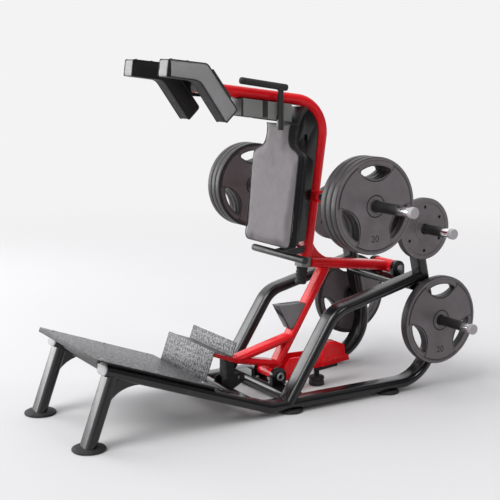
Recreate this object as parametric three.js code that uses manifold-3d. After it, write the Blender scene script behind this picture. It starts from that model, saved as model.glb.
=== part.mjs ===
// Plate-loaded lever squat machine (sold as a leg press / super squat).
// Millimetres, +Z up. Y runs from the foot platform (front) to the pivot (rear), X is across.
// The pieces are drawn with Y = 0 near the front feet; the group is then moved back by MID_Y, so
// the origin is on the floor, under the middle of the bounding box.
import * as THREE from 'three';
import { mergeVertices } from 'three/addons/utils/BufferGeometryUtils.js';
import Module from 'manifold-3d';

const wasm = await Module();
wasm.setup();

// ---------- driving dimensions ----------
const GAP = 0.3;                      // clearance left between touching pieces
const MID_Y = 1015.5;                 // middle of the overall length
const SIDE_X = 293;                   // centre of each side frame
const TUBE_W = 100;                   // flat-oval frame tube, across
const TUBE_H = 50;                    // flat-oval frame tube, thickness
const FOOT_T = 16;                    // foot disc height
const RAIL_FRONT = [74, 346.5];       // front end of the sloping base rail
const RAIL_KNEE = [904, 41];          // where the rail levels out above the floor
const RAIL_JOIN = 1660;               // rail to rear post joint
const POST_CORNER = [1958.2, 41];
const POST_TOP = [1760, 867];
const UPRIGHT_FOOT = [1014, 41];
const UPRIGHT_KNEE = [1282, 457];
const UPRIGHT_END = [1826, 587.6];
const SLOPE = Math.atan2(RAIL_FRONT[1] - RAIL_KNEE[1], RAIL_KNEE[0] - RAIL_FRONT[0]);
const PLATFORM_W = 684;
const PIVOT = [1840, 588];            // carriage hinge axis
const REAR_CROSS = [1836, 525];       // cross tube under the hinge
const LOCK_PIVOT = [1101, 112];       // lock frame hinge axis
const SPINE_FRONT = [700, 1534.4];
const SPINE_KNEE = [1416, 1448.5];
const SPINE_END = [1309.4, 686];
const SPINE_H = 55;
const WORK_HORN = [1306, 1000];
const SMALL_HORN = [1763, 837];
const BIG_HORN = [1879, 363];
const PLATE_R = 225;
const SMALL_R = 153;
const BORE_R = 26;

// ---------- finishes ----------
const finish = (color, roughness, metalness) => () =>
  new THREE.MeshStandardMaterial({ color, roughness, metalness });
const BLACK = finish(0x17181a, 0.38, 0.35);
const RED = finish(0xd3141f, 0.28, 0.2);
const CHROME = finish(0xd9dcdf, 0.15, 1.0);
const RUBBER = finish(0x1b1b1c, 0.85, 0.0);
const PLATE = finish(0x3c3a3c, 0.6, 0.1);
const CHECKER = finish(0x77797b, 0.45, 0.8);
const GREY_PAD = finish(0x7f7c7e, 0.65, 0.0);
const DARK_PAD = finish(0x3a393b, 0.65, 0.0);
const GREY_CAST = finish(0x5f635f, 0.5, 0.4);

// ---------- solids ----------
function solid(geometry) {
  let g = geometry.clone();
  g.deleteAttribute('normal');
  g.deleteAttribute('uv');
  g = mergeVertices(g.index ? g.toNonIndexed() : g, 1e-3);
  const mesh = new wasm.Mesh({
    numProp: 3,
    vertProperties: new Float32Array(g.attributes.position.array),
    triVerts: new Uint32Array(g.index.array),
  });
  return new wasm.Manifold(mesh);
}

function geometryOf(manifold) {
  const m = manifold.getMesh();
  const g = new THREE.BufferGeometry();
  const stride = m.numProp;
  const count = m.vertProperties.length / stride;
  const pos = new Float32Array(count * 3);
  for (let i = 0; i < count; i++) {
    for (let k = 0; k < 3; k++) pos[3 * i + k] = m.vertProperties[stride * i + k];
  }
  g.setAttribute('position', new THREE.BufferAttribute(pos, 3));
  g.setIndex(new THREE.BufferAttribute(new Uint32Array(m.triVerts), 1));
  return g;
}

const union = (...parts) => parts.reduce((a, b) => a.add(b));

// Shape drawn in the side plane (Y, Z), pushed along X from x0 to x1.
const TO_SIDE = new THREE.Matrix4().makeBasis(
  new THREE.Vector3(0, 1, 0), new THREE.Vector3(0, 0, 1), new THREE.Vector3(1, 0, 0));

function sideGeometry(shape, x0, x1, options = {}) {
  const g = new THREE.ExtrudeGeometry(shape, {
    depth: x1 - x0, bevelEnabled: false, curveSegments: 10, ...options,
  });
  return g.applyMatrix4(TO_SIDE).translate(x0, 0, 0);
}
const side = (shape, x0, x1, options) => solid(sideGeometry(shape, x0, x1, options));
const polygon = (points) => new THREE.Shape(points.map(([a, b]) => new THREE.Vector2(a, b)));

function box(x0, x1, y0, y1, z0, z1) {
  const g = new THREE.BoxGeometry(x1 - x0, y1 - y0, z1 - z0);
  return solid(g.translate((x0 + x1) / 2, (y0 + y1) / 2, (z0 + z1) / 2));
}

function roundShape(cy, cz, r, segments = 20) {
  const points = [];
  for (let i = 0; i < segments; i++) {
    const a = (2 * Math.PI * i) / segments;
    points.push([cy + r * Math.cos(a), cz + r * Math.sin(a)]);
  }
  return polygon(points);
}
const rod = (cy, cz, r, x0, x1, segments) => side(roundShape(cy, cz, r, segments), x0, x1);

// Turned part about an axis parallel to X: profile of [radius, x] pairs, from the axis to the
// axis, or closed on itself when it has a bore.
function turned(profile, cy, cz, segments = 24) {
  const outline = profile[0][0] === 0 ? profile : [...profile, profile[0]];
  const closed = outline.map(([r, x]) => new THREE.Vector2(r, x));
  const g = new THREE.LatheGeometry(closed, segments).rotateZ(-Math.PI / 2);
  return solid(g.translate(0, cy, cz));
}

// Turned part about a vertical axis: profile of [radius, z] pairs from the axis to the axis.
function turnedUpright(profile, x, y, segments = 22) {
  const g = new THREE.LatheGeometry(profile.map(([r, z]) => new THREE.Vector2(r, z)), segments);
  return solid(g.rotateX(Math.PI / 2).translate(x, y, 0));
}

// Flat-oval outline centred on the origin, long axis along x.
function flatOval(w, h, segments = 6) {
  const r = h / 2;
  const points = [];
  for (const s of [1, -1]) {
    for (let i = 0; i <= segments; i++) {
      const a = -Math.PI / 2 + (Math.PI * i) / segments;
      points.push([s * (w / 2 - r + r * Math.cos(a)), s * r * Math.sin(a)]);
    }
  }
  return polygon(points);
}

// Route through side-plane corners [y, z, bend radius]; stations sit on the straights and bends.
// The first straight is never level, so the profile's long axis always lies along X.
class Route extends THREE.Curve {
  constructor(corners, bendSteps = 6) {
    super();
    const at = ([y, z]) => new THREE.Vector3(0, y, z);
    const list = [];
    corners.forEach((corner, i) => {
      const p = at(corner);
      if (i === 0 || i === corners.length - 1) {
        const q = at(corners[i === 0 ? 1 : i - 1]);
        const t = i === 0 ? q.sub(p) : p.clone().sub(q);
        list.push({ p, t: t.normalize() });
        return;
      }
      const before = p.clone().sub(at(corners[i - 1])).normalize();
      const after = at(corners[i + 1]).sub(p).normalize();
      const turn = before.angleTo(after);
      const side = Math.sign(before.y * after.z - before.z * after.y);
      const inward = new THREE.Vector3(0, -before.z, before.y).multiplyScalar(side);
      const start = p.clone().addScaledVector(before, -corner[2] * Math.tan(turn / 2));
      for (let k = 0; k <= bendSteps; k++) {
        const a = (turn * k) / bendSteps;
        const point = start.clone()
          .addScaledVector(before, corner[2] * Math.sin(a))
          .addScaledVector(inward, corner[2] * (1 - Math.cos(a)));
        const tangent = before.clone().multiplyScalar(Math.cos(a))
          .addScaledVector(inward, Math.sin(a));
        list.push({ p: point, t: tangent });
      }
    });
    this.stations = list;
  }

  station(u) { return this.stations[Math.round(u * (this.stations.length - 1))]; }
  getPoint(u, target = new THREE.Vector3()) { return target.copy(this.station(u).p); }
  getPointAt(u, target) { return this.getPoint(u, target); }
  getTangentAt(u, target = new THREE.Vector3()) { return target.copy(this.station(u).t); }
  getSpacedPoints() { return this.stations.map((s) => s.p.clone()); }
}

function bentTube(corners, x, w, h, grow = 0, bendSteps = 6) {
  const route = new Route(corners, bendSteps);
  const g = new THREE.ExtrudeGeometry(flatOval(w + 2 * grow, h + 2 * grow), {
    extrudePath: route, steps: route.stations.length - 1, curveSegments: 6,
  });
  return solid(g.translate(x, 0, 0));
}

// ---------- assembly ----------
const machine = new THREE.Group();
machine.name = 'lever_squat_machine';

function place(name, manifold, material) {
  const mesh = new THREE.Mesh(geometryOf(manifold), material());
  mesh.name = name;
  machine.add(mesh);
}

function placeGeometry(name, geometry, material) {
  const mesh = new THREE.Mesh(geometry, material());
  mesh.name = name;
  machine.add(mesh);
}

const SIDES = [['left', -1], ['right', 1]];
const along = [Math.cos(SLOPE), -Math.sin(SLOPE)];     // down the sloping rail
const upFrom = [Math.sin(SLOPE), Math.cos(SLOPE)];     // square to the sloping rail
// Point at distance a down the slope and b above the rail top, measured from the rail's front end.
const onRail = (a, b) => [
  RAIL_FRONT[0] + a * along[0] + (TUBE_H / 2 + b) * upFrom[0],
  RAIL_FRONT[1] + a * along[1] + (TUBE_H / 2 + b) * upFrom[1],
];

const railPath = [RAIL_FRONT, [...RAIL_KNEE, 150], [RAIL_JOIN - GAP, 41]];
const postPath = [POST_TOP, [...POST_CORNER, 210], [RAIL_JOIN, 41]];
const uprightPath = [UPRIGHT_FOOT, [...UPRIGHT_KNEE, 150], UPRIGHT_END];
const frameTube = (path, sign, grow = 0, steps = 6) =>
  bentTube(path, sign * SIDE_X, TUBE_W, TUBE_H, grow, steps);
const railsGrown = union(frameTube(railPath, -1, GAP, 4), frameTube(railPath, 1, GAP, 4));
const postsGrown = union(frameTube(postPath, -1, GAP, 10), frameTube(postPath, 1, GAP, 10));

// Side frames: sloping base rail, rear post and the bent upright that carries the upper rail.
for (const [tag, s] of SIDES) {
  place(`base_rail_${tag}`, frameTube(railPath, s, 0, 4), BLACK);
  place(`rear_post_${tag}`, frameTube(postPath, s, 0, 10), BLACK);
  place(`upright_rail_${tag}`,
    frameTube(uprightPath, s).subtract(railsGrown).subtract(postsGrown), BLACK);
}

// Front legs, square to the rail, each with a thin curved gusset plate.
function legOutline() {
  const corner = [131.4, 305.2];
  const run = (d, v) => [corner[0] + d * v[0], corner[1] + d * v[1]];
  const rear = run(165, along);
  const low = [corner[0] - 150 * upFrom[0], corner[1] - 150 * upFrom[1]];
  const shape = new THREE.Shape();
  shape.moveTo(corner[0] - 20, corner[1] + 6);
  shape.lineTo(corner[0] + 12, corner[1] + 9);
  shape.lineTo(rear[0] + 3, rear[1] + 6);
  shape.lineTo(...rear);
  shape.quadraticCurveTo(corner[0] + 12, corner[1] - 30, ...low);
  shape.lineTo(low[0] - 20, low[1]);
  return shape;
}
const legPath = [onRail(43, -380), onRail(43, -27)];
const legsGrown = union(frameTube(legPath, -1, GAP), frameTube(legPath, 1, GAP));
for (const [tag, s] of SIDES) {
  const leg = frameTube(legPath, s);
  const gusset = side(legOutline(), s * SIDE_X - 3, s * SIDE_X + 3, { curveSegments: 8 });
  const floorCut = box(-400, 400, -200, 400, -60, FOOT_T + GAP);
  place(`front_leg_${tag}`, union(leg, gusset).subtract(railsGrown).subtract(floorCut), BLACK);
}

// Rubber foot discs.
function footDisc(x, y, r) {
  const t = FOOT_T - GAP;
  return turnedUpright([[0, 0], [r - 4, 0], [r, 3], [r, t - 5], [r - 9, t], [0, t]], x, y);
}
for (const [tag, s] of SIDES) {
  place(`foot_front_${tag}`, footDisc(s * SIDE_X, 2, 75), RUBBER);
  place(`foot_mid_${tag}`, footDisc(s * SIDE_X, 1036, 65), RUBBER);
  place(`foot_rear_${tag}`, footDisc(s * SIDE_X, 1622, 65), RUBBER);
}

// Cross tubes, coped to the side frames.
const INNER = SIDE_X - TUBE_W / 2 + TUBE_H / 2;
const cross = (shape) => side(shape, -INNER, INNER);
function tiltedOval(cy, cz, w, h, angle) {
  const points = flatOval(w, h).getPoints().map((p) => [
    cy + p.x * Math.cos(angle) - p.y * Math.sin(angle),
    cz + p.x * Math.sin(angle) + p.y * Math.cos(angle),
  ]);
  return polygon(points);
}
const frontCross = onRail(54, -TUBE_H / 2);
place('front_cross_tube',
  cross(roundShape(frontCross[0], frontCross[1], 25)).subtract(railsGrown).subtract(legsGrown),
  BLACK);
const midCross = onRail(773, -TUBE_H / 2);
place('mid_cross_tube', cross(tiltedOval(midCross[0], midCross[1], 100, 50, -SLOPE))
  .subtract(railsGrown), BLACK);
place('base_cross_tube',
  cross(tiltedOval(LOCK_PIVOT[0], 41, 100, 50, 0)).subtract(railsGrown), BLACK);
place('rear_cross_tube',
  cross(tiltedOval(REAR_CROSS[0], REAR_CROSS[1], 100, 50, 0)).subtract(postsGrown), BLACK);

// Foot platform: checker sheet with a front lip, on two bearer strips.
const sheet = (a0, a1, b0, b1) => polygon([onRail(a0, b0), onRail(a1, b0), onRail(a1, b1), onRail(a0, b1)]);
const HALF_W = PLATFORM_W / 2;
place('foot_platform', union(
  side(sheet(-60, 572, 12, 17), -HALF_W, HALF_W),
  side(sheet(-60, -55, -5, 13), -HALF_W, HALF_W),
  side(sheet(4, 566, GAP, 13), -SIDE_X - 20, -SIDE_X + 20),
  side(sheet(4, 566, GAP, 13), SIDE_X - 20, SIDE_X + 20),
), CHECKER);
place('kick_plate', union(
  side(sheet(556, 561, 17 + GAP, 160), -228, 228),
  side(sheet(556, 572, 155, 160), -228, 228),
  side(sheet(556, 572, 17 + GAP, 22), -228, 228),
), CHECKER);

// Rest on the mid cross tube that carries the front of the lock frame: block, two cheeks and a pin.
const midGrown = side(tiltedOval(midCross[0], midCross[1], 100.6, 50.6, -SLOPE), -300, 300);
const restCheek = polygon([[812, 66], [866, 66], [936, 102], [936, 140], [906, 148], [812, 122]]);
place('pedal_rest', union(
  side(restCheek, -42, -33), side(restCheek, 33, 42), rod(916, 123, 13, -52, 52, 20),
  side(polygon([[838, 84], [880, 84], [880, 193], [838, 208]]), -34, 34),
).subtract(midGrown), RUBBER);

// Stop channel behind the lock pivot: foot strip, rising trough for the folded strut, end block.
const trough = polygon([[1239, 96], [1400, 110.1], [1400, 118.1], [1239, 104]]);
const cheekWall = polygon([
  [1165, 66.5], [1230, 66.5], [1240, 96.1], [1400, 110.1], [1400, 172], [1240, 177], [1200, 177],
  [1165, 140],
]);
const riser = polygon([[1222, 66.5], [1230, 66.5], [1243, 104], [1236, 104]]);
place('stop_channel', union(
  box(-52, 52, 1141.5, 1230, 66.5, 74),
  side(riser, -52, 52), side(trough, -52, 52), side(cheekWall, -52, -46), side(cheekWall, 46, 52),
  side(polygon([[1390, 109.3], [1390, 146], [1396, 152], [1546, 154], [1554, 148], [1560, 124]]), -62, 62),
  side(polygon([
    [1395, 112], [1395, 204], [1425, 220.4], [1440, 221.5], [1522, 212], [1533, 202], [1541, 125],
  ]), -54, 54),
), RED);

// Levelling foot on a stem, under a rubber spacer.
place('stop_foot', union(
  turnedUpright([
    [0, 0], [38, 0], [40, 3], [40, 20], [34, 26], [40, 32], [40, 44], [34, 48], [14, 48], [14, 90],
    [0, 90],
  ], 0, 1396, 20),
  side(polygon([[1385, 84], [1500, 94], [1500, 118.4], [1385, 108.4]]), -40, 40),
), RUBBER);

// Rubber pad on the end block's sloping edge, where the strut comes to rest.
place('stop_pad', side(polygon([[1396, 205.1], [1424, 220.4], [1421.6, 224.6], [1393.6, 209.4]]), -40, 40),
  RUBBER);

// Lock bracket: two cheeks on one base plate, on the base cross tube.
const cheek = (x0, x1) => union(
  rod(LOCK_PIVOT[0], LOCK_PIVOT[1], 42, x0, x1, 28),
  box(x0, x1, 1061, 1141, 66 + GAP, LOCK_PIVOT[1]));
place('lock_bracket', union(
  cheek(-100, -72), cheek(72, 100),
  box(-100, 100, 1061, 1141, 66 + GAP, 74),
  rod(LOCK_PIVOT[0], LOCK_PIVOT[1], 17, 99, 110), rod(LOCK_PIVOT[0], LOCK_PIVOT[1], 17, -110, -99),
), BLACK);

// Pillow blocks for the carriage hinge, on the rear cross tube.
for (const [tag, s] of SIDES) {
  const x0 = s > 0 ? 76 : -106;
  const block = union(
    rod(PIVOT[0], PIVOT[1], 38, x0, x0 + 30, 28),
    box(x0, x0 + 30, PIVOT[0] - 38, PIVOT[0] + 38, REAR_CROSS[1] + TUBE_H / 2 + GAP, PIVOT[1]),
    rod(PIVOT[0], PIVOT[1], 16, s > 0 ? 105 : -114, s > 0 ? 114 : -105));
  place(`pillow_block_${tag}`, block, BLACK);
}

// Storage horns on the rear posts.
const hornProfile = (x0, x1, collar0, collar1) => [
  [0, x0], [22, x0], [22, collar0], [42, collar0], [42, collar1], [22, collar1],
  [22, x1 - 26], [25, x1 - 24], [25, x1 - 3], [22, x1], [0, x1],
];
function horn(sign, [cy, cz], x0, x1, collar0, collar1) {
  const h = turned(hornProfile(x0, x1, collar0, collar1), cy, cz, 20);
  return sign > 0 ? h : h.mirror([1, 0, 0]);
}
const POST_OUT = SIDE_X + TUBE_W / 2;
for (const [tag, s] of SIDES) {
  place(`horn_small_${tag}`, horn(s, SMALL_HORN, POST_OUT - 20, 606, 342, 355).subtract(postsGrown), CHROME);
  place(`horn_big_${tag}`, horn(s, BIG_HORN, POST_OUT - 20, 640, 342, 355).subtract(postsGrown), CHROME);
}

// ---------- weight plates ----------
// Grip plate: rounded rim and three long hand holes.
// Hand hole in direction a: outer edge follows the rim, inner edge bows towards the hub.
function handHole(cy, cz, a) {
  const at = (across, out) => [
    cy + out * Math.cos(a) - across * Math.sin(a), cz + out * Math.sin(a) + across * Math.cos(a)];
  const outer = [-26, -18, -9, 0, 9, 18, 26].map((deg) => {
    const b = THREE.MathUtils.degToRad(deg);
    return at(186 * Math.sin(b), 186 * Math.cos(b));
  });
  const inner = [88, 62, 32, 0, -32, -62, -88].map((c) => at(c, 259.6 - Math.sqrt(135.6 ** 2 - c * c)));
  return polygon([...outer, ...inner]);
}

function gripPlate([cy, cz], x0, t, sign) {
  const m = x0 + t / 2;
  let body = turned([
    [BORE_R, m - t / 2], [PLATE_R - 6, m - t / 2], [PLATE_R, m - t / 2 + 7],
    [PLATE_R, m + t / 2 - 7], [PLATE_R - 6, m + t / 2], [BORE_R, m + t / 2],
  ], cy, cz, 36);
  for (let i = 0; i < 3; i++) {
    const a = Math.PI / 2 + (2 * Math.PI * i) / 3;
    body = body.subtract(side(handHole(cy, cz, a), m - t, m + t));
  }
  return sign > 0 ? body : body.mirror([1, 0, 0]);
}
function smallPlate([cy, cz], x0, t, sign) {
  const m = x0 + t / 2;
  const body = turned([
    [BORE_R, m - t / 2], [SMALL_R - 4, m - t / 2], [SMALL_R, m - t / 2 + 5],
    [SMALL_R, m + t / 2 - 5], [SMALL_R - 4, m + t / 2], [118, m + t / 2], [114, m + t / 2 - 3],
    [60, m + t / 2 - 3], [56, m + t / 2], [BORE_R, m + t / 2],
  ], cy, cz, 36);
  return sign > 0 ? body : body.mirror([1, 0, 0]);
}
const WORK_T = 39.7;
for (const [tag, s] of SIDES) {
  for (let i = 0; i < 3; i++) {
    place(`work_plate_${tag}_${i + 1}`, gripPlate(WORK_HORN, 463.3 + 40 * i, WORK_T, s), PLATE);
  }
  place(`small_plate_${tag}`, smallPlate(SMALL_HORN, 356, 39, s), PLATE);
  place(`big_plate_${tag}`, gripPlate(BIG_HORN, 356, 44, s), PLATE);
}

// ---------- carriage ----------
const spinePath = [SPINE_FRONT, [...SPINE_KNEE, 165], SPINE_END];
const spineTube = (grow) => bentTube(spinePath, 0, 100, SPINE_H, grow, 9);
const crossTube = (grow) => rod(WORK_HORN[0], WORK_HORN[1], 30 + grow, -150 - grow, 150 + grow, 24);
place('carriage_spine', union(spineTube(0), crossTube(0)), RED);
const spineGrown = union(spineTube(0.5), crossTube(0.5));

// Lever beam with hub and web gusset.
const beamAngle = Math.atan2(653.5 - PIVOT[1], 1332.4 - PIVOT[0]);
const beamTube = (grow) => bentTube([[1332.4, 653.5], PIVOT], 0, 100, 50, grow);
const web = new THREE.Shape();
web.moveTo(1330, 650);
web.lineTo(1318, 800);
web.lineTo(1345, 800);
web.quadraticCurveTo(1362, 690, 1470, 655);
web.lineTo(1470, 640);
place('lever_beam', union(
  beamTube(0), rod(PIVOT[0], PIVOT[1], 35, -72, 72, 28),
  side(web, -6, 6, { curveSegments: 8 }).subtract(spineGrown)
    .subtract(box(-20, 20, 1250, 1337, 600, 692)),
), RED);
const beamGrown = bentTube([[1332.4, 653.5], PIVOT], 0, 120, 51.2);

// Corner block and rubber bumper under the spine.
const cornerBlock = [[-27, -27], [27, -27], [27, 27], [-27, 27]].map(([a, b]) => [
  1304.8 - a * Math.cos(beamAngle) + b * 0.1266, 657 - a * Math.sin(beamAngle) + b * 0.992]);
place('corner_block', side(polygon(cornerBlock), -34, 34), GREY_CAST);
const bumper = turnedUpright(
  [[0, -86], [24, -86], [30, -79], [30, -8], [26, 0], [0, 0]], 0, 0, 24)
  .rotate([-7.3, 0, 0]).translate([0, 1301.3, 628.6]);
place('rubber_bumper', bumper, RUBBER);

// Working weight horns.
for (const [tag, s] of SIDES) {
  place(`horn_work_${tag}`, horn(s, WORK_HORN, 150 + GAP, 858, 449, 462.5), CHROME);
}

// Shoulder pads: bent cushions, level arm forward, slanted arm down and back.
const padOutline = new THREE.Shape();
padOutline.moveTo(434, 1590);
padOutline.lineTo(443, 1654);
padOutline.quadraticCurveTo(445, 1663, 456, 1662);
padOutline.lineTo(624, 1645);
padOutline.quadraticCurveTo(643, 1643, 654, 1626);
padOutline.lineTo(788, 1446);
padOutline.quadraticCurveTo(797, 1432, 786, 1420);
padOutline.lineTo(742, 1377);
padOutline.quadraticCurveTo(732, 1370, 724, 1382);
padOutline.lineTo(612, 1541);
padOutline.quadraticCurveTo(598, 1560, 578, 1563);
padOutline.lineTo(442, 1580);
padOutline.quadraticCurveTo(433, 1581, 434, 1590);
for (const [tag, s] of SIDES) {
  const x0 = s > 0 ? 134 : -223;
  placeGeometry(`shoulder_pad_${tag}`, sideGeometry(padOutline, x0 + 6, x0 + 83, {
    curveSegments: 4, bevelEnabled: true, bevelThickness: 6, bevelSize: 6, bevelOffset: -6,
    bevelSegments: 2,
  }), DARK_PAD);
}

// Bracket plate behind both shoulder pads, open in the middle for the spine.
const padRear = (d, off) => [654 + 0.5973 * d + off * 0.802, 1626 - 0.802 * d + off * 0.5973];
place('pad_bracket',
  side(polygon([padRear(20, 1), padRear(175, 1), padRear(175, 9), padRear(20, 9)]), -212, 212)
    .subtract(spineGrown), BLACK);

// Back pad: face leans back with the spine; broad body, rounded shoulders, narrow neck.
const LEAN = Math.atan2(46, 386);
const faceFrame = (off) => new THREE.Matrix4().makeBasis(
  new THREE.Vector3(-1, 0, 0),
  new THREE.Vector3(0, Math.sin(LEAN), Math.cos(LEAN)),
  new THREE.Vector3(0, Math.cos(LEAN), -Math.sin(LEAN)),
).setPosition(0, 1077 + off * Math.cos(LEAN), 765 - off * Math.sin(LEAN));
function backOutline(inset) {
  const i = inset;
  const shape = new THREE.Shape();
  const half = [
    [165 - i, i], [208 - i, 42], [208 - i, 420], [196 - i, 455 - i / 2], [150 - i, 478 - i / 2],
    [112 - i, 503 - i / 2], [101 - i, 545], [112 - i, 598 - i],
  ];
  shape.moveTo(half[0][0], half[0][1]);
  shape.quadraticCurveTo(208 - i, i, ...half[1]);
  shape.lineTo(...half[2]);
  shape.quadraticCurveTo(208 - i, 445 - i / 2, ...half[3]);
  shape.quadraticCurveTo(178 - i, 470 - i / 2, ...half[4]);
  shape.quadraticCurveTo(122 - i, 486 - i / 2, ...half[5]);
  shape.quadraticCurveTo(102 - i, 520, ...half[6]);
  shape.quadraticCurveTo(102 - i, 575, ...half[7]);
  shape.lineTo(-half[7][0], half[7][1]);
  shape.quadraticCurveTo(-102 + i, 575, -half[6][0], half[6][1]);
  shape.quadraticCurveTo(-102 + i, 520, -half[5][0], half[5][1]);
  shape.quadraticCurveTo(-122 + i, 486 - i / 2, -half[4][0], half[4][1]);
  shape.quadraticCurveTo(-178 + i, 470 - i / 2, -half[3][0], half[3][1]);
  shape.quadraticCurveTo(-208 + i, 445 - i / 2, -half[2][0], half[2][1]);
  shape.lineTo(-half[1][0], half[1][1]);
  shape.quadraticCurveTo(-208 + i, i, -half[0][0], half[0][1]);
  return shape;
}
function slab(inset, off, t, bevel) {
  const options = bevel
    ? { depth: t - 2 * bevel, bevelEnabled: true, bevelThickness: bevel, bevelSize: bevel,
      bevelOffset: -bevel, bevelSegments: 2, curveSegments: 3 }
    : { depth: t, bevelEnabled: false, curveSegments: 3 };
  const g = new THREE.ExtrudeGeometry(backOutline(inset), options);
  return g.translate(0, 0, bevel || 0).applyMatrix4(faceFrame(off));
}
placeGeometry('back_pad', slab(0, 0, 50, 8), GREY_PAD);
// Backing board, with a tongue that runs on up behind the neck to the spine's bend.
const tongue = side(polygon([
  [1197, 1318], [1208, 1318], [1216, 1350], [1234, 1390], [1268, 1424], [1262, 1434], [1223, 1396],
  [1204, 1356],
]), -92, 92);
place('back_board', union(solid(slab(10, 50.4, 16, 0)), tongue).subtract(spineGrown), BLACK);

// Pad carrier between the back board and the spine: broad box with a narrow web that runs up
// behind the tongue to the spine's bend, slotted near the top.
place('pad_carrier', union(
  side(polygon([
    [1148, 770], [1243, 784], [1293, 1140], [1284, 1178], [1245, 1206], [1200, 1220],
  ]), -110, 110),
  side(polygon([
    [1165, 776], [1298, 776], [1352, 1160], [1384, 1340], [1374, 1375], [1330, 1405], [1285, 1420],
    [1266, 1418], [1240, 1389], [1219.5, 1351], [1212.5, 1320], [1200, 1160],
  ]), -34, 34),
).subtract(side(roundShape(1292, 1290, 9), -40, 40)).subtract(side(roundShape(1294, 1262, 9), -40, 40))
  .subtract(box(-40, 40, 1284, 1302, 1262, 1290)).subtract(spineGrown)
  .subtract(solid(slab(-60, 40, 26.8, 0))), BLACK);

// Bar under the back pad with two arms to the spine.
const arm = (x0, x1) => side(polygon([[1161, 692], [1284, 712], [1287, 745], [1161, 726]]), x0, x1);
place('lower_bar', union(
  rod(1161, 709, 18, -237, 237, 20), arm(-44, -34), arm(34, 44)).subtract(spineGrown), BLACK);

// Housing under the spine's level arm.
const spineUnder = (y, d) => [y, 1514 - 0.12 * (y - 870) - 28.4 - d];
place('top_housing', side(polygon([
  spineUnder(902, 0), spineUnder(902, 84), spineUnder(1024, 85), spineUnder(1024, 70),
  spineUnder(1046, 70), spineUnder(1046, 86), spineUnder(1186, 88), spineUnder(1186, 0),
]), -72, 72), GREY_CAST);

// Side handle: upright tube with a level grip, on the right of the housing.
const grip = solid(new THREE.CapsuleGeometry(16.5, 236, 6, 16)
  .rotateX(-0.14).translate(90, 1014, 1545));
place('side_handle', union(
  solid(new THREE.CylinderGeometry(14.5, 14.5, 206, 18).rotateX(Math.PI / 2)
    .translate(90, 1108, 1430)), grip,
  box(72.5, 90, 1096, 1120, 1345, 1395),
), RUBBER);

// ---------- lock frame ----------
const bar = (points, w, h) => bentTube(points, 0, w, h);
const lockFrame = union(
  rod(LOCK_PIVOT[0], LOCK_PIVOT[1], 26, -69, 69, 24),
  side(polygon([[1080, 108], [1120, 100], [1170, 140], [1150, 168], [1088, 172]]), -34, 34),
  bar([[1160, 149], [898, 205]], 80, 34),
  bar([[1134, 135], [1445, 634]], 80, 40),
  bar([[912, 206], [1226, 281]], 80, 34),
  side(polygon([[896, 192], [905, 214], [706, 282], [700, 268]]), -34, 34),
  side(polygon([[700, 264], [790, 236], [790, 276], [700, 309]]), -30, -22),
  side(polygon([[700, 264], [790, 236], [790, 276], [700, 309]]), 22, 30),
);
const shelf = [579, 674];
const pedal = union(
  side(sheet(shelf[0], shelf[1], 153, 158), -210, 210),
  side(sheet(shelf[1] - 5, shelf[1], 153, 226), -210, 210));
const pedalGrown = side(sheet(shelf[0] - 60, shelf[1] + 60, 153 - GAP, 320), -300, 300);
place('lock_frame', lockFrame.subtract(beamGrown).subtract(pedalGrown)
  .subtract(box(-200, 200, 1300, 1500, 628, 760)), RED);
place('pedal_plate', pedal, CHECKER);

// Wedge block on the front of the strut.
const strutGrown = bentTube([[1134, 135], [1445, 634]], 0, 120, 41.2);
place('strut_block', side(polygon([[1140, 449], [1300, 449], [1262, 340], [1212, 322]]), -32, 32)
  .subtract(strutGrown), GREY_CAST);

machine.position.set(0, -MID_Y, 0);
export default machine;
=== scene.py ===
"""Lever squat machine: the looks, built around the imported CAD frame.

Metres, in the CAD frame. Pieces are drawn in the side plane with the drawing numbers of the
CAD (millimetres, y = 0 near the front feet) and moved back by MID_Y, as the CAD is.
"""
import math

import bmesh
import bpy
from mathutils import Matrix, Vector


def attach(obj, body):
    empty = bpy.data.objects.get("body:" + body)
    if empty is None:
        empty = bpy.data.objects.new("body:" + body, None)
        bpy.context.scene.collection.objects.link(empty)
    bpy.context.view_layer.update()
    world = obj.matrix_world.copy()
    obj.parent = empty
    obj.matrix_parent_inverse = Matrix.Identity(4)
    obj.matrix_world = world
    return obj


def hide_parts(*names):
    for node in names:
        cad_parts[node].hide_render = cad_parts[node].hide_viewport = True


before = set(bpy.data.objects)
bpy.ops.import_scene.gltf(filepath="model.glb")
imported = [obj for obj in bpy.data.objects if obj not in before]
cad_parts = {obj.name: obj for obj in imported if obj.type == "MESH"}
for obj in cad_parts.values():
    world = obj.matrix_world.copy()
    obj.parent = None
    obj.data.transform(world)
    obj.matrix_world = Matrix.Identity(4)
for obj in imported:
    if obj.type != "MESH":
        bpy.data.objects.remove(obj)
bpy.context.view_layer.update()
SIDES = (("left", -1), ("right", 1))

# Driving places and sizes, in drawing mm; places in the side plane are (y, z).
MID_Y = 1015.5
SIDE_X = 293                        # middle of each side frame
TUBE_W, TUBE_H = 100, 50            # flat-oval tube of the fixed frame
FLOOR_RAIL_Z = 41                   # middle of the level base rails
RAIL_START = (74, 346.5)            # middle of the sloping base rail at its front end
DOWN_SLOPE = (0.9384, -0.3455)      # direction down the platform
OFF_SLOPE = (0.3455, 0.9384)        # direction square to the platform
HINGE = (1840, 588)                 # main hinge of the carriage
LOCK_HINGE = (1101, 112)
WORK_HORN, SMALL_HORN, BIG_HORN = (1306, 1000), (1763, 837), (1879, 363)
HORN_R, FLANGE_R = 22, 42
BORE_R, PLATE_R, SMALL_R = 26, 225, 152
STORED_X = 356                      # inner face of the stored plates


def mm(x, y, z):
    """Drawing millimetres to frame metres."""
    return Vector((x, y - MID_Y, z)) / 1000


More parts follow.
